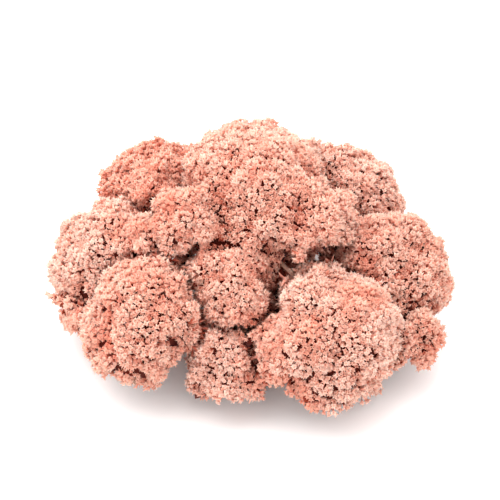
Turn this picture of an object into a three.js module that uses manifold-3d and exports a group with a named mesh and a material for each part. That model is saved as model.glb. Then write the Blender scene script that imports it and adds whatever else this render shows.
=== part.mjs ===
// A clump of reindeer moss as picked: rounded, cauliflower-like heads pressed together into a cushion.
// Each plant is one piece. Its bare stems fork under its head, and under any smaller heads beside it.
// A head is a dome of small lobes, and is covered with the tips of the last branchlets.
// Millimetres, +Z up. The clump rests on its stem feet at z = 0, and the origin is under its middle.
import * as THREE from "three";
import { mergeVertices } from "three/addons/utils/BufferGeometryUtils.js";
import Module from "manifold-3d";

const wasm = await Module();
wasm.setup();

// The plants, as picked. The first dome of each is its head, and the others are smaller heads that
// fork from the same stems. around: compass angle from +X, in degrees. out: from the clump's axis.
// up: above the ground. radius: of the dome.
const PLANTS = [
  {
    name: "crown_head",
    tone: "rose",
    domes: [
      { around: 70, out: 4, up: 28, radius: 16.5 },
      { around: 203, out: 13, up: 32, radius: 9.5 },
      { around: -22, out: 14, up: 32, radius: 9 },
      { around: -106, out: 14, up: 21.5, radius: 11.5 },
      { around: -69, out: 14, up: 13, radius: 7 },
    ],
  },
  {
    name: "front_head",
    tone: "pale",
    domes: [
      { around: -54, out: 27, up: 16, radius: 15 },
      { around: -101, out: 22, up: 10.5, radius: 11 },
    ],
  },
  {
    name: "front_left_head",
    tone: "rose",
    domes: [
      { around: -138, out: 27, up: 17, radius: 14 },
      { around: -165, out: 33, up: 11, radius: 8 },
    ],
  },
  {
    name: "left_head",
    tone: "pale",
    domes: [
      { around: 178, out: 27.5, up: 16, radius: 14 },
      { around: 196, out: 20, up: 27, radius: 7 },
    ],
  },
  {
    name: "back_left_head",
    tone: "salmon",
    domes: [
      { around: 133, out: 26, up: 18, radius: 12.5 },
      { around: 156, out: 21, up: 27, radius: 7.5 },
    ],
  },
  {
    name: "back_head",
    tone: "rose",
    domes: [
      { around: 89, out: 24.5, up: 16.5, radius: 14 },
      { around: 111, out: 31, up: 10.5, radius: 7.5 },
    ],
  },
  {
    name: "back_right_head",
    tone: "pale",
    domes: [
      { around: 42, out: 27, up: 17, radius: 12.5 },
      { around: 60, out: 19, up: 28, radius: 7 },
    ],
  },
  {
    name: "right_head",
    tone: "rose",
    domes: [
      { around: -5, out: 28.5, up: 16, radius: 13.5 },
      { around: -27, out: 36, up: 10.5, radius: 8 },
      { around: 8, out: 19, up: 20, radius: 7.5 },
    ],
  },
];
const FOCUS = -6; // height of the point that every dome faces away from
const DOME_HEIGHT = 0.9; // of the dome against its width
const GAP = 0.4; // between plants that press on each other

// The lobes that make a head look like a cauliflower.
const LOBE_SIZE = 0.34; // of the head's radius
const LOBE_SIZE_VARIES = 0.18; // of itself, up or down
const LOBE_REACH = 0.69; // of the head's radius, to the middle of a lobe
const LOBE_REACH_VARIES = 0.09;
const LOBE_SPREAD = 118; // degrees from the top of the head to the lowest lobes
const LOBE_WIDTH = 9.6; // mm from lobe to lobe on the head's surface
const LEAST_LOBES = 8;
const LOBE_TILT = 12; // degrees that a lobe may be off its even place
const LOBE_TURN = 0.6; // radians, likewise
const CORE_SIZE = 0.62; // of the head's radius, where no lobe reaches

// The tips of the last branchlets, larger than life.
const TIP_MESH = 2.75; // mm between neighbouring points of the head's surface
const RING_SHARE = 1.2; // side of a triangle times rings, on a ball of radius 1
const LEAST_RINGS = 4; // of triangles on each side of the ball that a dome is made from
const TIP_HEIGHT = 1.7;
const TIP_VARIES = 0.25;
const PIT_DEPTH = 0.5;
const TIPS_END = 150; // degrees from the top of the head, where the tips give way to bare branches
const TIPS_FADE = 35;
const TIP_SHIFT = 0.24; // of the mesh, sideways

// Stems and the limbs that they fork into, as far as they show from below.
const STEMS = 3;
const STEM_RADIUS = 1.15;
const STEM_FOOT_SHARE = 0.45; // of the head's own distance from the axis
const STEM_SPREAD = 2.9; // mm from the middle of one plant's feet to each of them
const STEM_SPREAD_VARIES = 0.2;
const STEM_UP = 3.2; // the highest foot that hangs clear of the ground
const STEM_BEND = 0.15; // of the head's radius, how far a stem sags on its way
const STEM_ASIDE = 0.25; // of the head's radius, from its middle to where a stem ends
const HEAD_LIMBS = 3;
const FORK_LIMBS = 1; // into each smaller head
const FORKS_AT = 0.42; // of a stem's length
const FORKS_VARY = 0.14;
const LIMB_RADIUS = 0.85;
const LIMB_ANGLE = 122; // degrees from the top of the head, where a limb goes into the dome
const LIMB_REACH = 0.72; // of the dome's radius
const LIMB_TURN = 0.6; // radians that a limb may be off its even place
const BRANCH_SIDES = 5;
const BRANCH_STEPS = 2;
const END_SHARE = 0.8; // of a branch's radius, at its far end

// Where the crown's stems have grown together into one old foot, which the ground cuts flat.
const FOOT_RADIUS = 3.6;
const FOOT_TOP_RADIUS = 2;
const FOOT_HEIGHT = 5;
const FOOT_SIDES = 9;

const BELOW = 2; // how far feet reach under the ground before they are cut level
const HUGE = 200; // side of the blocks that cut

const GOLDEN_ANGLE = Math.PI * (3 - Math.sqrt(5));
const UP = new THREE.Vector3(0, 0, 1);
const radians = THREE.MathUtils.degToRad;

// A seeded random number from 0 to 1, so that the clump is the same on every run.
function seeded(seed) {
  let state = seed;
  return () => {
    state = (state + 0x6d2b79f5) | 0;
    let t = Math.imul(state ^ (state >>> 15), 1 | state);
    t = (t + Math.imul(t ^ (t >>> 7), 61 | t)) ^ t;
    return ((t ^ (t >>> 14)) >>> 0) / 4294967296;
  };
}

// A factor of about 1, up to a share more or less.
function about(share, random) {
  return 1 + share * (2 * random() - 1);
}

// A unit vector at an angle from +Z, in degrees, and a compass angle, in radians.
function direction(fromTop, around) {
  const angle = radians(fromTop);
  return new THREE.Vector3(
    Math.sin(angle) * Math.cos(around),
    Math.sin(angle) * Math.sin(around),
    Math.cos(angle),
  );
}

function merged(geometry) {
  const bare = geometry.clone();
  bare.deleteAttribute("normal");
  bare.deleteAttribute("uv");
  return mergeVertices(bare, 1e-4);
}

function solidOf(geometry) {
  const shared = merged(geometry);
  return new wasm.Manifold(
    new wasm.Mesh({
      numProp: 3,
      vertProperties: shared.attributes.position.array,
      triVerts: new Uint32Array(shared.index.array),
    }),
  );
}

function geometryOf(solid) {
  const mesh = solid.getMesh();
  const geometry = new THREE.BufferGeometry();
  geometry.setAttribute("position", new THREE.BufferAttribute(mesh.vertProperties, 3));
  geometry.setIndex(new THREE.BufferAttribute(mesh.triVerts, 1));
  const faceted = geometry.toNonIndexed();
  faceted.computeVertexNormals();
  return faceted;
}

// A tapering branch: a cylinder laid along a curve.
function branch(curve, radius) {
  const rod = new THREE.CylinderGeometry(radius * END_SHARE, radius, 1, BRANCH_SIDES, BRANCH_STEPS);
  const place = rod.attributes.position;
  for (let i = 0; i < place.count; i++) {
    const along = THREE.MathUtils.clamp(place.getY(i) + 0.5, 0, 1);
    const turn = new THREE.Quaternion().setFromUnitVectors(UP, curve.getTangent(along));
    const across = new THREE.Vector3(place.getX(i), -place.getZ(i), 0).applyQuaternion(turn);
    const point = curve.getPoint(along).add(across);
    place.setXYZ(i, point.x, point.y, point.z);
  }
  return solidOf(rod);
}

// The middles of a dome's lobes, spread evenly over it and then a little unevenly.
function lobesOf({ radius }, random) {
  const share = (1 - Math.cos(radians(LOBE_SPREAD))) / 2;
  const area = 4 * Math.PI * radius ** 2 * share;
  const count = Math.max(LEAST_LOBES, Math.round(area / LOBE_WIDTH ** 2));
  return Array.from({ length: count }, (_, k) => {
    const evenly = THREE.MathUtils.radToDeg(Math.acos(1 - 2 * share * ((k + 0.5) / count)));
    const fromTop = evenly + (random() - 0.5) * LOBE_TILT;
    const around = k * GOLDEN_ANGLE + (random() - 0.5) * LOBE_TURN;
    const reach = radius * LOBE_REACH * about(LOBE_REACH_VARIES, random);
    const size = radius * LOBE_SIZE * about(LOBE_SIZE_VARIES, random);
    return { middle: direction(fromTop, around).multiplyScalar(reach), size };
  });
}

// How far the lobed dome reaches in a direction: the furthest lobe that the ray leaves.
function domeReach(way, radius, lobes) {
  let reach = radius * CORE_SIZE;
  for (const { middle, size } of lobes) {
    const along = way.dot(middle);
    const inside = size ** 2 - middle.lengthSq() + along ** 2;
    if (along > 0 && inside > 0) reach = Math.max(reach, along + Math.sqrt(inside));
  }
  return reach;
}

// Points of the ball that rise as tips: in a random order, each one that has no tip beside it.
function chooseTips(ball, random) {
  const count = ball.attributes.position.count;
  const beside = Array.from({ length: count }, () => new Set());
  const corner = ball.index.array;
  for (let i = 0; i < corner.length; i += 3)
    for (let k = 0; k < 3; k++) {
      beside[corner[i + k]].add(corner[i + ((k + 1) % 3)]);
      beside[corner[i + ((k + 1) % 3)]].add(corner[i + k]);
    }
  const order = Array.from({ length: count }, (_, i) => [random(), i]).sort((a, b) => a[0] - b[0]);
  const tips = new Set();
  for (const [, i] of order) {
    const crowded = [...beside[i]].some((j) => tips.has(j));
    if (!crowded) tips.add(i);
  }
  return tips;
}

// One dome in its place: a ball raised by the lobes and the tips, and turned to face outward.
function domeSolid(dome, random) {
  const rings = Math.max(LEAST_RINGS, Math.round((RING_SHARE * dome.radius) / TIP_MESH));
  const ball = merged(new THREE.IcosahedronGeometry(1, rings - 1));
  const lobes = lobesOf(dome, random);
  const tips = chooseTips(ball, random);
  const place = ball.attributes.position;
  const shift = (TIP_MESH / dome.radius) * TIP_SHIFT;
  const way = new THREE.Vector3();
  for (let i = 0; i < place.count; i++) {
    way.fromBufferAttribute(place, i);
    way.x += (random() - 0.5) * 2 * shift;
    way.y += (random() - 0.5) * 2 * shift;
    way.z += (random() - 0.5) * 2 * shift;
    way.normalize();
    const fromTop = THREE.MathUtils.radToDeg(Math.acos(way.z));
    const fade = THREE.MathUtils.clamp((TIPS_END - fromTop) / TIPS_FADE, 0, 1);
    const relief = tips.has(i) ? TIP_HEIGHT * about(TIP_VARIES, random) : -PIT_DEPTH * random();
    way.multiplyScalar(domeReach(way, dome.radius, lobes) + relief * fade);
    place.setXYZ(i, way.x, way.y, way.z * DOME_HEIGHT);
  }
  ball.applyQuaternion(dome.turn);
  ball.translate(dome.middle.x, dome.middle.y, dome.middle.z);
  return solidOf(ball);
}

// Where a dome's middle is, and how it is turned.
function settle(dome) {
  const around = radians(dome.around);
  dome.middle = new THREE.Vector3(Math.cos(around), Math.sin(around), 0)
    .multiplyScalar(dome.out)
    .setZ(dome.up);
  const facing = dome.middle.clone().setZ(dome.up - FOCUS).normalize();
  dome.turn = new THREE.Quaternion().setFromUnitVectors(UP, facing);
}

// A plant's stems, as curves from their feet up into its head.
function stemsOf(head, foot, random) {
  const start = random() * Math.PI * 2;
  return Array.from({ length: STEMS }, (_, k) => {
    const angle = start + (k * Math.PI * 2) / STEMS;
    const aside = new THREE.Vector3(Math.cos(angle), Math.sin(angle), 0);
    const from = foot.clone().addScaledVector(aside, STEM_SPREAD * about(STEM_SPREAD_VARIES, random));
    from.z = k === 0 ? -BELOW : -BELOW + (BELOW + STEM_UP) * random();
    const to = head.middle.clone().addScaledVector(aside, head.radius * STEM_ASIDE);
    const bend = from.clone().lerp(to, 0.5);
    bend.z -= head.radius * STEM_BEND;
    return new THREE.QuadraticBezierCurve3(from, bend, to);
  });
}

// The limbs that fork from a plant's stems and go into the underside of one of its domes.
function limbsOf(dome, count, stems, random) {
  const facing = UP.clone().applyQuaternion(dome.turn);
  return Array.from({ length: count }, (_, k) => {
    const from = stems[k % STEMS].getPoint(FORKS_AT * about(FORKS_VARY, random));
    const aside = from.clone().sub(dome.middle).projectOnPlane(facing).normalize();
    aside.applyAxisAngle(facing, (k * Math.PI * 2) / count + (random() - 0.5) * LIMB_TURN);
    const slope = radians(LIMB_ANGLE);
    const to = dome.middle
      .clone()
      .addScaledVector(aside, Math.sin(slope) * dome.radius * LIMB_REACH)
      .addScaledVector(facing, Math.cos(slope) * dome.radius * LIMB_REACH);
    const bend = from.clone().lerp(to, 0.5).addScaledVector(facing, -dome.radius * STEM_BEND);
    return new THREE.QuadraticBezierCurve3(from, bend, to);
  });
}

// The old foot that carries the crown: a low stump, a little wider at the ground.
function oldFoot(at) {
  const stump = new THREE.CylinderGeometry(
    FOOT_TOP_RADIUS,
    FOOT_RADIUS,
    FOOT_HEIGHT + BELOW,
    FOOT_SIDES,
  );
  stump.rotateX(Math.PI / 2);
  stump.translate(at.x, at.y, (FOOT_HEIGHT - BELOW) / 2);
  return solidOf(stump);
}

// Everything on the far side of a plane, as a block to cut with.
function beyond(point, normal) {
  const block = new THREE.BoxGeometry(HUGE, HUGE, HUGE);
  block.applyQuaternion(new THREE.Quaternion().setFromUnitVectors(UP, normal));
  const middle = point.clone().addScaledVector(normal, HUGE / 2);
  block.translate(middle.x, middle.y, middle.z);
  return solidOf(block);
}

// The plane where two domes press on each other, seen from the first: it holds the circle in which
// they would meet, less half of the gap.
function pressedBy(dome, other) {
  const normal = other.middle.clone().sub(dome.middle);
  const apart = normal.length();
  normal.normalize();
  const share = (apart ** 2 + dome.radius ** 2 - other.radius ** 2) / (2 * apart);
  return beyond(dome.middle.clone().addScaledVector(normal, share - GAP / 2), normal);
}

// The room that a plant has among the others: for each of its domes, what no other dome presses on.
function roomOf(plant) {
  const others = PLANTS.filter((other) => other !== plant).flatMap((other) => other.domes);
  const rooms = plant.domes.map((dome) => {
    let room = solidOf(new THREE.BoxGeometry(HUGE, HUGE, HUGE).translate(0, 0, HUGE / 2));
    for (const other of others) room = room.subtract(pressedBy(dome, other));
    return room;
  });
  return rooms.reduce((all, room) => all.add(room));
}

function largest(solid) {
  return solid.decompose().sort((a, b) => b.volume() - a.volume())[0];
}

const TONES = { rose: 0xe6a790, pale: 0xf3baa3, salmon: 0xdb9c85 };
const ROUGHNESS = 0.95;

function plantMesh(plant, seed) {
  const random = seeded(seed);
  const head = plant.domes[0];
  const foot = head.middle.clone().setZ(0).multiplyScalar(STEM_FOOT_SHARE);
  const pieces = plant.domes.map((dome) => domeSolid(dome, random));
  const stems = stemsOf(head, foot, random);
  const limbs = plant.domes.flatMap((dome) =>
    limbsOf(dome, dome === head ? HEAD_LIMBS : FORK_LIMBS, stems, random),
  );
  pieces.push(...stems.map((stem) => branch(stem, STEM_RADIUS)));
  pieces.push(...limbs.map((limb) => branch(limb, LIMB_RADIUS)));
  if (plant === PLANTS[0]) pieces.push(oldFoot(foot));
  const grown = pieces.reduce((all, piece) => all.add(piece));
  const material = new THREE.MeshStandardMaterial({
    color: TONES[plant.tone],
    roughness: ROUGHNESS,
    metalness: 0,
  });
  const mesh = new THREE.Mesh(geometryOf(largest(grown.intersect(roomOf(plant)))), material);
  mesh.name = plant.name;
  return mesh;
}

const FIRST_SEED = 11;
for (const plant of PLANTS) plant.domes.forEach(settle);
const clump = new THREE.Group();
PLANTS.forEach((plant, k) => clump.add(plantMesh(plant, FIRST_SEED + k)));

// The origin goes under the middle of the clump.
const bounds = new THREE.Box3().setFromObject(clump);
const middle = bounds.getCenter(new THREE.Vector3());
clump.position.set(-middle.x, -middle.y, -bounds.min.z);
clump.updateMatrixWorld(true);

export default clump;
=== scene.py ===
# %% [markdown]
# # A clump of reindeer moss
# Reindeer moss is a lichen: a cushion of small shrubs, each of which forks again and again until its
# last branchlets end in little stars. Seen from a step away the stars close into pale rounded heads
# like those of a cauliflower, with small dark pits between them. This clump has been dyed pink and
# preserved, as is done for wreaths and moss pictures.
#
# The frame holds one solid for each plant, with its heads, stems and raised tips. Here each solid is
# replaced by a finer plant that keeps its form.

# %% The frame, and the modules used
import math
import random
from itertools import product

import bmesh
import bpy
from mathutils import Matrix, Vector, noise
from mathutils.bvhtree import BVHTree
from mathutils.kdtree import KDTree


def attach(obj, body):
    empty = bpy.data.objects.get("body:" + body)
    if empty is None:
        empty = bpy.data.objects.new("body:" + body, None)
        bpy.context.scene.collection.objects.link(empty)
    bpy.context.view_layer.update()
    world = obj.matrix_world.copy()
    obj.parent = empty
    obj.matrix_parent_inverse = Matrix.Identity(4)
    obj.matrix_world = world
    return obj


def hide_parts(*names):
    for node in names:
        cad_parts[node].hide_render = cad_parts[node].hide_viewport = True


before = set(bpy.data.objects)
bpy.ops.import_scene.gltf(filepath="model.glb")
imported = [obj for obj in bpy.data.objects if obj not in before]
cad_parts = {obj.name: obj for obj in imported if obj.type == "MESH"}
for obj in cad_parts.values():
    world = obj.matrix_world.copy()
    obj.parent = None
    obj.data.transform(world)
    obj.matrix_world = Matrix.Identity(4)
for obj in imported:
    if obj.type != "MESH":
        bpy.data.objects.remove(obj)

MM = 0.001
UP = Vector((0, 0, 1))
CROWN = "crown_head"
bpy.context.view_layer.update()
plants = sorted(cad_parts)
print("plants:", ", ".join(plants))

# %% [markdown]
# ## The skin of a plant
# The solid's raised tips are larger than life and have flat sides. A copy is welded, because the
# frame's triangles are loose, and softened until only its lobes and the swell of each tip are left.
# That skin says where the branchlets end and which way they face. A lattice or a new set of spheres
# could say it too, but the skin keeps the form of the frame with no numbers of its own.

# %% A softened copy of each solid
WELD = 0.002 * MM
SMOOTHING = 0.5
SOFTENING = 2
FEET = 0.02 * MM


def welded(node):
    """A copy of a solid, in one piece."""
    copy = bmesh.new()
    copy.from_mesh(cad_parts[node].data)
    bmesh.ops.remove_doubles(copy, verts=copy.verts, dist=WELD)
    return copy


def soften(mesh, rounds):
    """Evens a mesh out, but for the flat feet that it stands on."""
    loose = [vert for vert in mesh.verts if vert.co.z > FEET]
    axes = {"use_axis_x": True, "use_axis_y": True, "use_axis_z": True}
    for _ in range(rounds):
        bmesh.ops.smooth_vert(mesh, verts=loose, factor=SMOOTHING, **axes)
    mesh.normal_update()


skins = {node: welded(node) for node in plants}
for skin in skins.values():
    soften(skin, SOFTENING)
surfaces = {node: BVHTree.FromBMesh(skin) for node, skin in skins.items()}
print("skin triangles:", sum(len(skin.faces) for skin in skins.values()))

# %% [markdown]
# ## What a point of the skin is
# A point may lie on a head or on a bare stem, in the light or deep between two plants. Rays tell
# which. One into the plant says how thick it is, and one straight up whether its own head is above
# it. A spray of rays outwards says how much of the surroundings and of the sky it sees, and the
# nearest point of the other skins how much room it has. That is quicker than painting masks by hand,
# and comes out the same each time.

# %% Rays into the plant, to its neighbours and to the sky
# In mm: where rays start, under or over the skin, and how high above a stem its own head is.
INTO_SKIN = 0.05
OFF_SKIN = 0.4
OFF_STEM = 0.5
LOW_ROOF = 2
HIGH_ROOF = 5
# From this value of stem() on, a point counts as on a stem.
ON_STEM = 0.5
NEIGHBOURHOOD = 4 * MM
SIGHT = 14 * MM
RAYS = 14
LOWEST_RAY = 0.12
RAY_TURN = 2.4


def joined(meshes):
    """One tree of all the skins."""
    everything = bmesh.new()
    for mesh in meshes:
        flat = bpy.data.meshes.new("part")
        mesh.to_mesh(flat)
        everything.from_mesh(flat)
        bpy.data.meshes.remove(flat)
    tree = BVHTree.FromBMesh(everything)
    everything.free()
    return tree


def thickness(node, point, out):
    """How far it is through the plant from a point."""
    inside = surfaces[node].ray_cast(point - out * INTO_SKIN * MM, -out)
    return inside[3] if inside[0] else 0.0


def stem(node, point, out):
    """From 0 on a head to 1 on a stem, which stands free under the plant's own head."""
    roof = surfaces[node].ray_cast(point + out * OFF_STEM * MM, UP)[3]
    return min(1.0, max(0.0, ((roof or 0.0) / MM - LOW_ROOF) / (HIGH_ROOF - LOW_ROOF)))


def room(node, point):
    """How far away the nearest other plant is."""
    others = [other for other in plants if other != node]
    found = [surfaces[other].find_nearest(point, NEIGHBOURHOOD)[3] for other in others]
    return min([way for way in found if way is not None], default=NEIGHBOURHOOD)


def outlook(point, out):
    """The shares of rays from a point that leave the clump at all, and that leave it upwards."""
    turn = out.to_track_quat("Z", "Y")
    free = upward = 0
    for k in range(RAYS):
        up = LOWEST_RAY + (1 - LOWEST_RAY) * (k + 0.5) / RAYS
        flat = math.sqrt(1 - up * up)
        way = turn @ Vector((math.cos(RAY_TURN * k) * flat, math.sin(RAY_TURN * k) * flat, up))
        if whole.ray_cast(point + out * OFF_SKIN * MM, way, SIGHT)[0] is None:
            free += 1
            upward += way.z > 0
    return free / RAYS, upward / RAYS


whole = joined(skins.values())
peak = max(skins[CROWN].verts, key=lambda vert: vert.co.z)
print("the top of the crown sees", round(outlook(peak.co, UP)[1], 2), "of the sky")

# %% [markdown]
# ## Lobes and creases
# Stars on top of a lobe are painted pale, and those in the crease between two lobes are painted
# darker as painted shade. A second copy of each solid is softened until its lobes are nearly gone.
# The skin stands above that copy on a lobe and dips below it in a crease. Curvature would tell them
# apart too, but it jumps from one small triangle to the next.

# %% How far a point stands above the softened form
FORM_SOFTENING = 14
SHARES_SHOWN = (0.02, 0.1, 0.3, 0.5, 0.7, 0.9, 0.98)


def form_of(node):
    """The plant without its lobes, for measuring distances to it."""
    form = welded(node)
    soften(form, FORM_SOFTENING)
    tree = BVHTree.FromBMesh(form)
    form.free()
    return tree


forms = {node: form_of(node) for node in plants}


def relief(node, point, out):
    """Above zero on the top of a lobe, below zero in the crease between two."""
    near = forms[node].find_nearest(point)[0]
    return (point - near).dot(out)


reliefs = sorted(relief(node, v.co, v.normal) / MM for node in plants for v in skins[node].verts)
print("relief in mm:", [round(reliefs[int(share * len(reliefs))], 2) for share in SHARES_SHOWN])

# %% [markdown]
# ## Points spread over a skin
# Branchlets stand side by side at an even distance, but in no pattern. So points are drawn at random
# on the skin, and one is kept where no other is too near. A grid would show as rows.

# %% Scatter points at a least distance
STEPS = list(product((-1, 0, 1), repeat=3))
TRIES = 9


def scatter(surface, spacing, draw):
    """Points on a mesh with their outward direction, no two nearer than spacing."""
    faces = list(surface.faces)
    areas = [face.calc_area() for face in faces]
    tries = int(TRIES * sum(areas) / spacing**2)
    kept = []
    cells = {}
    for face in draw.choices(faces, weights=areas, k=tries):
        a, b = draw.random(), draw.random()
        if a + b > 1:
            a, b = 1 - a, 1 - b
        corners = face.verts
        shares = (1 - a - b, a, b)
        point = sum((v.co * share for v, share in zip(corners, shares)), Vector())
        cell = tuple(math.floor(c / spacing) for c in point)
        near = (cells.get((cell[0] + i, cell[1] + j, cell[2] + k), ()) for i, j, k in STEPS)
        if any((point - other).length < spacing for group in near for other in group):
            continue
        cells.setdefault(cell, []).append(point)
        out = sum((v.normal * share for v, share in zip(corners, shares)), Vector()).normalized()
        kept.append((point, out))
    return kept


# %% [markdown]
# ## A star
# Each branchlet ends in a whorl of four or five arms round a small hole, and each arm in a fork of
# short prongs. A star like this is repeated thousands of times, so it has few faces. It starts as a
# short cone with a side for each arm. Its mouth is poked in as the hole, and its sides are drawn out
# to points. Extruding keeps it one closed skin, where loose cones would cross each other.
#
# Two kinds are made. A fine star, for the outer layer, has its sides split first, so each arm ends in
# two prongs. A broad star, for the layers below it, has one prong to an arm. Either runs down in a
# stalk that reaches the plant's core, because a branchlet grows from an older one and never floats.

# %% Draw faces out
def draw_out(mesh, faces, shift, size):
    """Extrudes each face on its own, then moves it and resizes it about its middle."""
    grown = bmesh.ops.extrude_discrete_faces(mesh, faces=faces)["faces"]
    for face in grown:
        way = shift(face)
        middle = Matrix.Translation(-face.calc_center_median())
        bmesh.ops.scale(mesh, vec=(size,) * 3, space=middle, verts=face.verts)
        bmesh.ops.translate(mesh, vec=way, verts=face.verts)
    return grown


def as_mesh(name, grown):
    """Turns a finished bmesh into a mesh."""
    mesh = bpy.data.meshes.new(name)
    grown.to_mesh(mesh)
    grown.free()
    return mesh


# %% The shape of a star, in mm, with its hub at the origin and its prongs up
HUB_RADIUS = 0.30
HUB_TAPER = 0.6
HUB_DEPTH = 0.50
HOLE_DEPTH = 0.42
PRONG = 0.46
PRONG_LENGTHS = (0.7, 1.2)
PRONG_TURN = 0.5
PRONG_LIFT = 0.26
PRONG_LIFTS = (0, 2)
POINT = 0.01
STALK = 2.1
STALK_TAPER = 0.5
# A face with a steeper normal than LEVEL is a cap, and one with a flatter normal than WALL a side.
LEVEL = 0.9
WALL = 0.7


def hub_of(arms, fine):
    """The cone with its hole, and the sides that the prongs are drawn from."""
    mesh = bmesh.new()
    low, high = HUB_RADIUS * HUB_TAPER, HUB_RADIUS
    bmesh.ops.create_cone(
        mesh, cap_ends=True, segments=arms, radius1=low, radius2=high, depth=HUB_DEPTH
    )
    mouth = [face for face in mesh.faces if face.normal.z > LEVEL]
    sides = [face for face in mesh.faces if abs(face.normal.z) < WALL]
    if fine:
        sides = bmesh.ops.triangulate(mesh, faces=sides)["faces"]
    bmesh.ops.poke(mesh, faces=mouth, offset=-HOLE_DEPTH)
    if fine:
        bottom = [face for face in mesh.faces if face.normal.z < -LEVEL]
        bmesh.ops.poke(mesh, faces=bottom, offset=STALK)
    return mesh, sides


# %% Two kinds of star, with the age and painted shade of each part
HUB_AGE_AND_SHADE = 0.42
AGE_OUTWARDS = 0.66
AGE_UPWARDS = 0.3
STALK_AGE_AND_SHADE = 0.1
STAR_SEED = 5
ARMS = (4, 5)
FINE_KINDS = 10
BROAD_KINDS = 6


def star(arms, fine, draw):
    """Two prongs to an arm and a slim stalk if fine, or else one prong and a stout stalk."""
    mesh, sides = hub_of(arms, fine)

    def prong_way(face):
        middle = face.calc_center_median()
        away = Vector((middle.x, middle.y, 0)).normalized()
        turn = Matrix.Rotation(draw.uniform(-PRONG_TURN, PRONG_TURN), 3, "Z")
        lift = PRONG_LIFT * draw.uniform(*PRONG_LIFTS) + middle.z
        return turn @ away * PRONG * draw.uniform(*PRONG_LENGTHS) + Vector((0, 0, lift))

    draw_out(mesh, sides, prong_way, 0.0)
    bmesh.ops.remove_doubles(mesh, verts=mesh.verts, dist=POINT)
    age_and_shade = mesh.verts.layers.float.new("tip")
    mesh.verts.layers.float.new("tint")
    # Darkest in the hole and down the stalk, palest at the prong ends: partly the branchlet's age,
    # partly painted shade in the hole and along the stalk.
    for vert in mesh.verts:
        reach = Vector((vert.co.x, vert.co.y, 0)).length
        vert[age_and_shade] = min(1.0, HUB_AGE_AND_SHADE + reach * AGE_OUTWARDS + max(0.0, vert.co.z) * AGE_UPWARDS)
    base = [vert for vert in mesh.verts if vert.co.z < POINT - HUB_DEPTH / 2]
    if fine:
        base = [vert for vert in base if vert.co.z < -HUB_DEPTH]
    else:
        bmesh.ops.scale(mesh, vec=(STALK_TAPER, STALK_TAPER, 1), verts=base)
        bmesh.ops.translate(mesh, vec=(0, 0, -STALK), verts=base)
    for vert in base:
        vert[age_and_shade] = STALK_AGE_AND_SHADE
    return mesh


draw = random.Random(STAR_SEED)
fine_stars = [as_mesh(f"fine_star_{k}", star(ARMS[k % 2], True, draw)) for k in range(FINE_KINDS)]
broad_stars = [as_mesh(f"broad_star_{k}", star(ARMS[k % 2], False, draw)) for k in range(BROAD_KINDS)]
print("faces of a fine star:", [len(mesh.polygons) for mesh in fine_stars])
print("faces of a broad star:", [len(mesh.polygons) for mesh in broad_stars])

# %% [markdown]
# ## A twig
# Lower down the plant is bare and thready: thin branches that fork once or twice. A twig starts as a
# short cone whose top is drawn out a few times, bending as it goes. Two of its walls are drawn out as
# side branches, and all its ends are split and drawn out to points as a star's arms are.

# %% One twig, in mm, standing on the origin
TWIG_KINDS = 8
TWIG_SIDES = 4
TWIG_RADIUS = 0.24
TWIG_FOOT = 1.2
TWIG_STEP = 0.85
TWIG_STEPS = 3
TWIG_LENGTHS = (0.8, 1.2)
TWIG_RISE = 0.8
TWIG_TAPER = 0.84
TWIG_BEND = 0.5
TWIG_PRONG = 0.5
TWIG_PRONG_LENGTHS = (0.8, 1.3)
TWIG_PRONG_RISE = 0.5
SIDE_BRANCH = 0.75
SIDE_RISE = 0.7
SIDE_TAPER = 0.55
STEEP_WALL = 0.6
TWIG_AGE = 0.28
TWIG_AGE_UPWARDS = 0.16


def twig(draw):
    """A bent branchlet with two side branches."""
    mesh = bmesh.new()
    low, high = TWIG_RADIUS * TWIG_FOOT, TWIG_RADIUS
    bmesh.ops.create_cone(
        mesh, cap_ends=True, segments=TWIG_SIDES, radius1=low, radius2=high, depth=TWIG_STEP
    )
    top = [face for face in mesh.faces if face.normal.z > LEVEL]
    bend = Vector((draw.uniform(-1, 1), draw.uniform(-1, 1), 0)) * TWIG_BEND

    def step_way(face):
        way = (face.normal + bend + UP * TWIG_RISE).normalized()
        return way * TWIG_STEP * draw.uniform(*TWIG_LENGTHS)

    def side_way(face):
        return (face.normal + UP * SIDE_RISE) * SIDE_BRANCH

    def prong_way(face):
        way = (face.normal + bend + UP * TWIG_PRONG_RISE).normalized()
        return way * TWIG_PRONG * draw.uniform(*TWIG_PRONG_LENGTHS)

    for _ in range(TWIG_STEPS):
        top = draw_out(mesh, top, step_way, TWIG_TAPER)
    walls = [face for face in mesh.faces if abs(face.normal.z) < STEEP_WALL and len(face.verts) == 4]
    walls = [face for face in walls if face.calc_center_median().z > TWIG_STEP]
    side = draw_out(mesh, draw.sample(walls, min(2, len(walls))), side_way, SIDE_TAPER)
    ends = bmesh.ops.triangulate(mesh, faces=top + side)["faces"]
    draw_out(mesh, ends, prong_way, 0.0)
    bmesh.ops.remove_doubles(mesh, verts=mesh.verts, dist=POINT)
    age_and_shade = mesh.verts.layers.float.new("tip")
    mesh.verts.layers.float.new("tint")
    for vert in mesh.verts:
        vert[age_and_shade] = TWIG_AGE + TWIG_AGE_UPWARDS * max(0.0, vert.co.z)
    return mesh


twigs = [as_mesh(f"twig_{k}", twig(draw)) for k in range(TWIG_KINDS)]
print("faces of a twig:", [len(mesh.polygons) for mesh in twigs])

# %% [markdown]
# ## The dark inside
# Between the stars one looks down into a thatch of older branches. Modelling every one of them would
# take millions of faces for something seen only as dark specks. So each plant has a core: its own
# skin, drawn in under the stars and roughened, with its stems left at their full size. Under the
# heads the core is painted the darkest brown, partly for the older branches and partly as painted
# shade deep in the clump. It is drawn in less where the plant is thin and where another plant
# presses on it, or a gap would open there.

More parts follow.
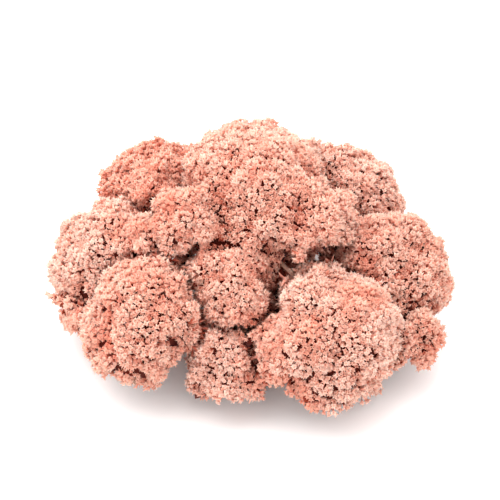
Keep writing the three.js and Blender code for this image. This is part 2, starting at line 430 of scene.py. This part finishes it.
# %% The core of a plant
CORE_DEPTH = 1.6 * MM
CORE_SHARE = 0.2
CORE_SMOOTHING = 0.5
PRESSED = 1.5 * MM
PRESSED_SHARE = 0.15
CORE_GRAIN = 1.3 * MM
CORE_ROUGHNESS = 0.45 * MM
STEM_AGE = 0.2


def core_depth(node, point, out):
    """How far the core lies under the skin."""
    pressed = PRESSED_SHARE + (1 - PRESSED_SHARE) * min(1.0, room(node, point) / PRESSED)
    return min(CORE_DEPTH, CORE_SHARE * thickness(node, point, out)) * pressed


def core_of(node):
    """The core as a bmesh, ready for stars and twigs to be joined to it."""
    core = skins[node].copy()
    age_and_shade = core.verts.layers.float.new("tip")
    core.verts.layers.float.new("tint")
    deeper = {}
    for vert in core.verts:
        head = 1 - stem(node, vert.co, vert.normal)
        deeper[vert] = vert.co - vert.normal * head * core_depth(node, vert.co, vert.normal)
        # Painted shade: under the heads the core gets the darkest value; bare stems keep their own
        # tone.
        vert[age_and_shade] = STEM_AGE * (1 - head)
    for vert, place in deeper.items():
        vert.co = place
    bmesh.ops.subdivide_edges(
        core, edges=core.edges, cuts=1, use_grid_fill=True, smooth=CORE_SMOOTHING
    )
    core.normal_update()
    for vert in core.verts:
        if vert.co.z > FEET:
            vert.co += vert.normal * noise.noise(vert.co / CORE_GRAIN) * CORE_ROUGHNESS
        vert.co.z = max(0.0, vert.co.z)
    return core


# %% [markdown]
# ## Copies that join a plant
# Thousands of stars could be instances, which cost little memory. They are joined to the plant's own
# mesh all the same, so that each plant is one piece wherever it goes. Each copy carries two numbers:
# how old each of its points is, darkened by painted shade where the copy lies, and one number at
# random by which its tone differs from the next.

# %% Put a copy into a plant
FULL_TURN = 6.28


def add(plant, mesh, matrix, shade, tint):
    """Joins a moved copy of a mesh to a plant, unless it would reach below the floor."""
    copy = mesh.copy()
    copy.transform(matrix)
    values = [0.0] * len(copy.vertices)
    tips = copy.attributes["tip"].data
    tips.foreach_get("value", values)
    # The shade darkens the copy's age: painted shade.
    tips.foreach_set("value", [value * shade for value in values])
    copy.attributes["tint"].data.foreach_set("value", [tint] * len(values))
    above = min(vert.co.z for vert in copy.vertices) > 0
    if above:
        plant.from_mesh(copy)
    bpy.data.meshes.remove(copy)
    return above


def placed(point, way, size, draw):
    """The matrix that stands a copy on a point, along a way, turned at random about it."""
    upright = way.to_track_quat("Z", "Y").to_matrix().to_4x4()
    turned = upright @ Matrix.Rotation(draw.uniform(0, FULL_TURN), 4, "Z")
    return Matrix.Translation(point) @ turned @ Matrix.Scale(MM * size, 4)


def jitter(way, much, draw):
    """A direction turned aside a little at random."""
    return (way + Vector((draw.gauss(0, much), draw.gauss(0, much), draw.gauss(0, much)))).normalized()


# %% [markdown]
# ## Tufts and pits
# Stars grow in tufts of about 3.5 mm that swell a little, and a dark pit stays open where three tufts
# meet. A first scatter gives the middles of the tufts. A star then sinks and leans outwards with its
# distance from the nearest middle, and none is laid where the third nearest middle is hardly farther
# than the first. Pits are smaller on top of a head, where the light keeps the tufts dense.
#
# Three layers of stars are laid. Each is sparser and a little lower than the one before and has
# narrower pits, so one looks from star to star down into the dark, and each is painted a little
# darker, as painted shade. The last is laid only beside the pits, where it shows.

# %% The measures of the layers, tufts and pits
TUFT_SPACING = 3.5 * MM
TUFT_CURVE = 2.7 * MM
PIT_START = 1.1 * MM
PIT_ON_TOP = 0.2
PIT_STEEPEST = 1.1
PIT_CLOSING = 0.2
NEAR_PIT = 1.3 * MM
# Each layer's spacing in mm, its depth in mm, how pale it is as painted shade, and its kinds of star.
LAYERS = (
    (0.81, 0.0, 1.0, fine_stars),
    (0.9, 0.5, 0.9, broad_stars),
    (1.15, 1.0, 0.8, broad_stars),
)
DEEPEST = LAYERS[-1][1]


def left_open(first, third, out, pit, depth):
    """Whether a point is in a pit, or in the deepest layer too far from one to show."""
    wide = (pit * (PIT_ON_TOP + min(PIT_STEEPEST, 1 - out.z)) - depth * PIT_CLOSING) * MM
    in_pit = first > PIT_START and third - first < wide
    return in_pit or (depth == DEEPEST and third - first > wide + NEAR_PIT)


print("spacing of the layers in mm:", [layer[0] for layer in LAYERS])

# %% How pale a star is, with painted shade
MEAN_RELIEF = 0.6
TUFT_SHADE = 0.2
TUFT_DEPTH = 1.5 * MM
DEEP_SHADE = 0.3
OPEN_SKY = 0.45
LOBE_SHADE = 0.99
LOBE_CONTRAST = 0.22
LOBE_SHADES = (0.75, 1.1)


def painted_shading(sunk, sky, height):
    """Painted shade: darker deep in a tuft, where little sky shows, and in a crease of two lobes."""
    in_tuft = 1 - TUFT_SHADE * sunk / TUFT_DEPTH
    in_light = 1 - DEEP_SHADE + DEEP_SHADE * min(1.0, sky / OPEN_SKY)
    on_lobe = LOBE_SHADE + LOBE_CONTRAST * (height - MEAN_RELIEF)
    on_lobe = min(LOBE_SHADES[1], max(LOBE_SHADES[0], on_lobe))
    return in_tuft * in_light * on_lobe


print("a star on a lobe in full light:", round(painted_shading(0, 1, 1), 2))
print("a star in a crease between heads:", round(painted_shading(TUFT_DEPTH, 0, 0), 2))

# %% Stars over the heads
UNDERNEATH = -0.6
HIDDEN = 0.1
BARE_SKY = 0.25
LEAN = 0.6
LEAN_ON_SIDES = 1.4
UNEVEN = 0.3
SWELL = 0.3
STANDS_OUT = 0.25 * MM
ABOVE_CORE = 0.4 * MM
STAR_SIZES = (0.85, 1.2)
STAR_WIDTH = 1.5 * MM
LEAST_SIZE = 0.45


def lay_star(plant, node, point, out, tuft, first, sky, layer, draw):
    """Lays one star, sunk and leaning with its distance from the middle of its tuft."""
    _, depth, share, kinds = layer
    sunk = TUFT_CURVE - math.sqrt(max(0.0, TUFT_CURVE**2 - first**2))
    lean = (point - tuft) / TUFT_CURVE * LEAN * (LEAN_ON_SIDES - out.z)
    way = jitter((out + lean).normalized(), UNEVEN, draw)
    height = relief(node, point, out) / MM
    lower = sunk + depth * MM - (height - MEAN_RELIEF) * SWELL * MM
    lower = min(lower, max(0.0, core_depth(node, point, out) - ABOVE_CORE))
    place = point + out * (STANDS_OUT - lower)
    size = draw.uniform(*STAR_SIZES)
    size *= min(1.0, max(LEAST_SIZE, room(node, place) / STAR_WIDTH))
    # Painted shade: deeper layers, stars sunk in a tuft, creases and places that see little sky are
    # darker.
    shade = share * painted_shading(sunk, sky, height)
    matrix = placed(place, way, size, draw)
    return add(plant, draw.choice(kinds), matrix, shade, draw.random())


def cover(plant, node, pit, draw):
    """Lays the layers of stars over the heads of a plant."""
    middles = scatter(skins[node], TUFT_SPACING, draw)
    nearest = KDTree(len(middles))
    for k, (point, out) in enumerate(middles):
        nearest.insert(point, k)
    nearest.balance()
    counts = []
    for layer in LAYERS:
        spacing, depth = layer[:2]
        counts.append(0)
        for point, out in scatter(skins[node], spacing * MM, draw):
            if out.z < UNDERNEATH:
                continue
            free, sky = outlook(point, out)
            if free < HIDDEN or (sky < BARE_SKY and stem(node, point, out) > ON_STEM):
                continue
            found = nearest.find_n(point, 3)
            tuft, first, third = found[0][0], found[0][2], found[-1][2]
            if left_open(first, third, out, pit, depth):
                continue
            counts[-1] += lay_star(plant, node, point, out, tuft, first, sky, layer, draw)
    return counts


# %% [markdown]
# ## Twigs under the heads and between them
# Seen from low down or from below, a head is a fan of twigs that climb from the stems to the rim. So
# twigs are laid along the underside, pointing away from the plant's foot. Deep in the crevice between
# two plants there is too little light for stars, and bare twigs stand there, painted a little darker
# as painted shade. Where three plants meet a chink stays open, and twigs grow across it from each
# side, painted much darker as painted shade. Larger bare faces there would be cheaper, but they
# would show as smooth patches.

# %% Twigs on undersides, in crevices and round chinks
TWIG_SPACING = 1.7 * MM
UNDERSIDE = -0.5
TWIG_OUTWARDS = 0.35
TWIG_UNEVEN = 0.3
TWIG_SIZES = (0.55, 0.85)
CREVICE_SPACING = 1.4 * MM
CREVICE_SIZES = (0.5, 0.85)
CREVICE_SHADE = 0.9
CREVICE_UNEVEN = 0.4
CHINK_SPACING = 1.2 * MM
CHINK = 6 * MM
CHINK_OUTLOOK = 0.4
CHINK_SIZES = (0.8, 1.2)
CHINK_SHADE = 0.5


def lay(plant, kind, point, way, size, shade, tint, draw):
    """Stands a twig on a point and joins it to the plant."""
    return add(plant, kind, placed(point, way, size, draw), shade, tint)


def lay_twig(plant, node, point, out, way, sizes, shade, draw):
    """Lays a twig that starts on the core."""
    size = draw.uniform(*sizes)
    inside = point - out * core_depth(node, point, out)
    return lay(plant, draw.choice(twigs), inside, way, size, shade, draw.random(), draw)


def away_from_foot(node, point, out):
    """The way along the skin that leads from the foot of a plant to its rim."""
    foot = min(skins[node].verts, key=lambda vert: vert.co.z).co
    away = (point - foot).normalized()
    return (away - out * away.dot(out)).normalized()


def underside_twigs(plant, node, draw):
    """Fans of twigs from the stems to the rim."""
    count = 0
    for point, out in scatter(skins[node], TWIG_SPACING, draw):
        if out.z > UNDERSIDE or stem(node, point, out) > ON_STEM:
            continue
        way = (away_from_foot(node, point, out) + out * TWIG_OUTWARDS).normalized()
        way = jitter(way, TWIG_UNEVEN, draw)
        count += lay_twig(plant, node, point, out, way, TWIG_SIZES, 1.0, draw)
    return count


def crevice_twigs(plant, node, draw):
    """Short twigs where a plant sees almost nothing but its neighbours."""
    count = 0
    for point, out in scatter(skins[node], CREVICE_SPACING, draw):
        free = outlook(point, out)[0]
        if out.z < UNDERNEATH or not 0 < free < HIDDEN or stem(node, point, out) > ON_STEM:
            continue
        way = jitter((out + UP).normalized(), CREVICE_UNEVEN, draw)
        # CREVICE_SHADE paints these twigs a little darker: painted shade.
        count += lay_twig(plant, node, point, out, way, CREVICE_SIZES, CREVICE_SHADE, draw)
    return count


def at_chink(node, point):
    """Whether two other plants are near, as round the chink that stays open where three meet."""
    near = [surfaces[other].find_nearest(point, CHINK)[0] for other in plants if other != node]
    return len(near) - near.count(None) > 1


def chink_twigs(plant, node, draw):
    """Twigs across a chink, dark with painted shade. The crown has enough faces, so its neighbours'
    twigs must do.
    """
    count = 0
    for point, out in scatter(skins[node], CHINK_SPACING, draw):
        if node == CROWN or not at_chink(node, point) or sum(outlook(point, out)) > CHINK_OUTLOOK:
            continue
        way = jitter(out, CREVICE_UNEVEN, draw)
        count += lay_twig(plant, node, point, out, way, CHINK_SIZES, CHINK_SHADE, draw)
    return count


# %% [markdown]
# ## Branches on the stems
# Between the stems the clump is a dark thatch of old branches, some of them dead and grey; they are
# painted darker, partly for their age and partly as painted shade under the heads. The same twig,
# larger, stands for each of those. One that would reach out of the dark under the heads is made a
# short one, because large plain branches look like claws in the light. More of them stand near the
# floor in the middle, where the stems leave the most room.

# %% Branches on the stems and near the floor
BRANCH_SPACING = 1.5 * MM
BRANCH_SIZES = (1.2, 2.8)
BRANCH_UNEVEN = 0.45
BRANCH_ALONG = 0.4
BRANCH_REACH = 4 * MM
BRANCH_DEPTH = 0.4 * MM
BRANCH_SHADE = 0.8
SHORT_SIZES = (0.5, 0.8)
IN_VIEW = 0.4
INNER = 18 * MM
INNER_TOP = 18 * MM
LOW_SPACING = 1.1 * MM
LOW = 7 * MM
LOW_SIZES = (1.2, 2.0)
LOW_UNEVEN = 0.3
LOW_RISE = 0.25
# The tint of a living branch is between 0 and 1.
DEAD = 1.5
DEAD_SHARE = 0.3


def from_axis(point):
    """How far a point is from the middle line of the clump."""
    return math.hypot(point.x, point.y)


def lay_branch(plant, point, out, way, size, draw):
    """Lays a large twig on a stem, or a short one if its end would leave the dark under the heads."""
    end = point + way * size * BRANCH_REACH
    roofed = whole.ray_cast(end, UP)[0] is not None
    inner = from_axis(end) < INNER and end.z < INNER_TOP
    if not inner and (outlook(point, out)[0] > IN_VIEW or not roofed):
        size = draw.uniform(*SHORT_SIZES)
    tint = DEAD if draw.random() < DEAD_SHARE else draw.random()
    foot = point - out * BRANCH_DEPTH
    # BRANCH_SHADE darkens them, partly for age and partly as painted shade under the heads.
    return lay(plant, draw.choice(twigs), foot, way, size, BRANCH_SHADE, tint, draw)


def stem_branches(plant, node, draw):
    """Branches all over the stems."""
    count = 0
    for point, out in scatter(skins[node], BRANCH_SPACING, draw):
        if stem(node, point, out) > ON_STEM:
            way = (away_from_foot(node, point, out) * BRANCH_ALONG + out).normalized()
            way = jitter(way, BRANCH_UNEVEN, draw)
            count += lay_branch(plant, point, out, way, draw.uniform(*BRANCH_SIZES), draw)
    return count


def low_branches(plant, node, draw):
    """More branches near the floor, in the middle of the clump."""
    count = 0
    for point, out in scatter(skins[node], LOW_SPACING, draw):
        if FEET < point.z < LOW and from_axis(point) < INNER:
            way = jitter((out + UP * LOW_RISE).normalized(), LOW_UNEVEN, draw)
            count += lay_branch(plant, point, out, way, draw.uniform(*LOW_SIZES), draw)
    return count


# %% [markdown]
# ## The plants
# Each plant is one piece: its core, its stars and its twigs. The front two are the laciest, with the
# widest pits, and the crown behind them the smoothest. Their tones differ a little, because each has
# taken the dye in its own way.

# %% Grow every plant
PIT_WIDTH = 1.1
PIT_WIDTHS = {"front_head": 1.3, "front_left_head": 1.25, CROWN: 0.9}
TONE = {
    "crown_head": "rose",
    "front_head": "pale",
    "front_left_head": "rose",
    "left_head": "pale",
    "back_left_head": "salmon",
    "back_head": "rose",
    "back_right_head": "pale",
    "right_head": "rose",
}
PLANT_SEED = 100
BARE_PARTS = (underside_twigs, crevice_twigs, stem_branches, low_branches, chink_twigs)
pieces = {}
total = 0
for number, node in enumerate(plants):
    draw = random.Random(PLANT_SEED + number)
    plant = core_of(node)
    laid = cover(plant, node, PIT_WIDTHS.get(node, PIT_WIDTH), draw)
    bare = [lay_them(plant, node, draw) for lay_them in BARE_PARTS]
    mesh = as_mesh(node + "_lichen", plant)
    mesh.shade_smooth()
    piece = bpy.data.objects.new(node + "_lichen", mesh)
    bpy.context.collection.objects.link(piece)
    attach(piece, "root")
    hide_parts(node)
    pieces[node] = piece
    mesh.calc_loop_triangles()
    total += len(mesh.loop_triangles)
    print(node, "stars", laid, "twigs", bare, "triangles", len(mesh.loop_triangles))
print("triangles in all:", total)

# %% [markdown]
# ## Dyed lichen
# Dye takes evenly in the pale young tips, while the older branches go salmon and then brown. So the
# colour follows the age that each star and twig carries from its foot to its tips, darkened by the
# painted shade laid in with it deep in tufts, in creases, in lower layers, in crevices and in the
# core. Painting by height or by direction would be simpler, but it would not follow the branchlets.

# %% Colours and nodes
def linear(code):
    """An sRGB hex colour as linear light."""
    parts = [int(code[k:k + 2], 16) / 255 for k in (0, 2, 4)]
    return tuple(c / 12.92 if c <= 0.04045 else ((c + 0.055) / 1.055) ** 2.4 for c in parts) + (1,)


def put(tree, kind, settings=None, links=None):
    """Adds a node, sets its values and feeds its sockets."""
    added = tree.nodes.new("ShaderNode" + kind)
    for name, value in (settings or {}).items():
        if isinstance(name, str) and hasattr(added, name):
            setattr(added, name, value)
        else:
            added.inputs[name].default_value = value
    for name, source in (links or {}).items():
        tree.links.new(source, added.inputs[name])
    return added


# %% [markdown]
# ## How old and how shaded a point looks
# The age and painted shade from the mesh run the same way in every star, which would look printed.
# Three small shifts break it up: one for each star as a whole, one in patches of about 13 mm where
# the dye took better or worse, and one in the grain of the felt. The real felt is far finer than
# shows at this distance, so its grain is drawn 0.5 mm wide.

# %% The age and painted shade of a point, from the attributes and two noises
DYE_PATCH = 13 * MM
FELT_GRAIN = 0.5 * MM
OWN_SHIFT = 0.12
PATCH_SHIFT = 0.1
PATCH_RANGE = (0.3, 0.7)
FELT_SHIFT = 0.2


def noises(tree):
    """A wide noise for patches of dye and a fine one for the felt."""
    place = put(tree, "TexCoord").outputs["Object"]
    wide = put(tree, "TexNoise", {"Scale": 1 / DYE_PATCH, "Detail": 2.0}, {"Vector": place})
    fine = put(tree, "TexNoise", {"Scale": 1 / FELT_GRAIN, "Detail": 2.0}, {"Vector": place})
    return wide.outputs["Fac"], fine.outputs["Fac"]


def shifted_age_and_shade(tree, tint, wide, fine):
    """The age and painted shade from the mesh, with its three shifts."""
    age_and_shade = put(tree, "Attribute", {"attribute_name": "tip"}).outputs["Fac"]
    patch = {"From Min": PATCH_RANGE[0], "From Max": PATCH_RANGE[1]}
    for source, shift, given in (
        (tint, OWN_SHIFT, {}),
        (wide, PATCH_SHIFT, patch),
        (fine, FELT_SHIFT, {}),
    ):
        moved = put(tree, "MapRange", {**given, "To Min": -shift, "To Max": shift}, {"Value": source})
        age_and_shade = put(tree, "Math", {}, {0: age_and_shade, 1: moved.outputs[0]}).outputs[0]
    return age_and_shade


# %% [markdown]
# ## Three tones
# Each tone is a ramp from the brown of the oldest branches, which also serves as painted shade deep
# in the clump, to the cream pink of the tips. Where dye has pooled, a second, deeper pink is
# multiplied over it. Dead branches took no dye and are grey.

# %% The colours of the lichen
AGE_AND_SHADE_STOPS = (0.0, 0.22, 0.5, 0.75, 1.0)
TONES = {
    "rose": ("4c1408", "983d26", "e59a84", "f3b7a3", "f8c3af"),
    "pale": ("50170b", "9c432b", "e9a691", "f6c0ae", "fbcbb8"),
    "salmon": ("481207", "923620", "e18c75", "efa893", "f5b9a3"),
}
POOLS = {"rose": "f0ae98", "pale": "f2b49e", "salmon": "eda58d"}
POOL_RANGE = (0.5, 0.68)
POOL_SHARE = 0.6
DEAD_BRANCH = "7d6658"
DEAD_RANGE = (1.2, 1.4)
DEAD_GREYNESS = 0.85


def colour_of(tree, tone, age_and_shade, tint, wide):
    """The ramp of a tone, with pools of dye and dead branches."""
    ramp = put(tree, "ValToRGB", {}, {"Fac": age_and_shade})
    bar = ramp.color_ramp
    bar.elements.remove(bar.elements[1])
    bar.elements[0].position, bar.elements[0].color = AGE_AND_SHADE_STOPS[0], linear(TONES[tone][0])
    for position, code in zip(AGE_AND_SHADE_STOPS[1:], TONES[tone][1:]):
        bar.elements.new(position).color = linear(code)
    pools = {"From Min": POOL_RANGE[0], "From Max": POOL_RANGE[1], "To Max": POOL_SHARE}
    pooled = put(tree, "MapRange", pools, {"Value": wide}).outputs[0]
    # In a Mix node set to colours, socket 0 is the factor and 6 and 7 are the colours.
    over = {"data_type": "RGBA", "blend_type": "MULTIPLY", 7: linear(POOLS[tone])}
    dyed = put(tree, "Mix", over, {0: pooled, 6: ramp.outputs["Color"]}).outputs[2]
    greys = {"From Min": DEAD_RANGE[0], "From Max": DEAD_RANGE[1], "To Max": DEAD_GREYNESS}
    dead = put(tree, "MapRange", greys, {"Value": tint}).outputs[0]
    grey = {"data_type": "RGBA", 7: linear(DEAD_BRANCH)}
    return put(tree, "Mix", grey, {0: dead, 6: dyed}).outputs[2]


# %% [markdown]
# ## The felted rind
# A lichen has no gloss: its rind is a felt of threads that scatters light in all directions. So the
# surface is rough, with very little reflection, a fine bump and a trace of sheen. The tips are thin
# enough to let some light through, the red part of it farthest, which warms the edges.

# %% The lichen in three tones
ROUGHNESS = (0.82, 0.98)
BUMP = {"Strength": 0.5, "Distance": 0.15 * MM}
FELT = {
    "Specular IOR Level": 0.12,
    "Subsurface Weight": 0.3,
    "Subsurface Radius": (1.0, 0.5, 0.4),
    "Subsurface Scale": 0.5 * MM,
    "Sheen Weight": 0.04,
    "Sheen Roughness": 0.6,
}


def dyed_lichen(tone):
    """The finish of one tone."""
    material = bpy.data.materials.new("dyed_lichen_" + tone)
    material.use_nodes = True
    tree = material.node_tree
    shader = tree.nodes["Principled BSDF"]
    wide, fine = noises(tree)
    tint = put(tree, "Attribute", {"attribute_name": "tint"}).outputs["Fac"]
    age_and_shade = shifted_age_and_shade(tree, tint, wide, fine)
    matt = {"To Min": ROUGHNESS[0], "To Max": ROUGHNESS[1]}
    rough = put(tree, "MapRange", matt, {"Value": fine}).outputs[0]
    bump = put(tree, "Bump", BUMP, {"Height": fine}).outputs[0]
    tree.links.new(colour_of(tree, tone, age_and_shade, tint, wide), shader.inputs["Base Color"])
    tree.links.new(rough, shader.inputs["Roughness"])
    tree.links.new(bump, shader.inputs["Normal"])
    for name, value in FELT.items():
        shader.inputs[name].default_value = value
    return material


finishes = {tone: dyed_lichen(tone) for tone in TONES}
for node, piece in pieces.items():
    piece.data.materials.append(finishes[TONE[node]])
print("finishes:", ", ".join(sorted(finishes)))

# %% [markdown]
# ## The studio
# A sheet of white card as the floor, a pale room and one large soft lamp above and to the left, which
# is how small craft goods are shown on white. A dark room with several lamps would give stronger
# shadows, and fill the crevices with black.

# %% The floor, of matt white card that takes a soft shadow
FLOOR_REACH = 2
CARD = "f6f5f4"
sheet = bmesh.new()
bmesh.ops.create_grid(sheet, x_segments=1, y_segments=1, size=FLOOR_REACH)
floor = bpy.data.objects.new("floor", as_mesh("floor", sheet))
bpy.context.collection.objects.link(floor)
card = bpy.data.materials.new("white_card")
card.use_nodes = True
card.node_tree.nodes["Principled BSDF"].inputs["Base Color"].default_value = linear(CARD)
floor.data.materials.append(card)
print("faces of the floor:", len(floor.data.polygons))

# %% The light, with places in metres
ROOM_LIGHT = 1.85
LAMP_POWER = 4.4
LAMP_SIZE = 0.8
LAMP_PLACE = (-0.2, 0.12, 0.6)
LAMP_AIM = Vector((0, 0, 0.02))
world = bpy.data.worlds.new("studio")
world.use_nodes = True
world.node_tree.nodes["Background"].inputs["Color"].default_value = (1, 1, 1, 1)
world.node_tree.nodes["Background"].inputs["Strength"].default_value = ROOM_LIGHT
bpy.context.scene.world = world
light = bpy.data.lights.new("softbox", "AREA")
light.energy = LAMP_POWER
light.size = LAMP_SIZE
lamp = bpy.data.objects.new("softbox", light)
lamp.location = LAMP_PLACE
lamp.rotation_euler = (LAMP_AIM - lamp.location).to_track_quat("-Z", "Y").to_euler()
bpy.context.collection.objects.link(lamp)
print("the lamp hangs", round(lamp.location.z / MM), "mm above the floor")

# %% [markdown]
# ## The camera
# It looks down at 42 degrees from 760 mm away, as one looks at something on a table, through a long
# lens that keeps the heads at the back almost as large as those in front.

# %% The camera
WIDTH_SEEN = 100 * MM
DISTANCE = 760 * MM
ELEVATION = math.radians(42.4)
TARGET = Vector((0, 0, 0.018))
camera = bpy.data.cameras.new("camera")
camera.angle = 2 * math.atan(WIDTH_SEEN / 2 / DISTANCE)
view = bpy.data.objects.new("camera", camera)
view.location = TARGET + Vector((0, -math.cos(ELEVATION), math.sin(ELEVATION))) * DISTANCE
view.rotation_euler = (TARGET - view.location).to_track_quat("-Z", "Y").to_euler()
bpy.context.collection.objects.link(view)
bpy.context.scene.camera = view
bpy.context.scene.view_settings.view_transform = "Standard"
print("the camera sees", round(WIDTH_SEEN / MM), "mm across")
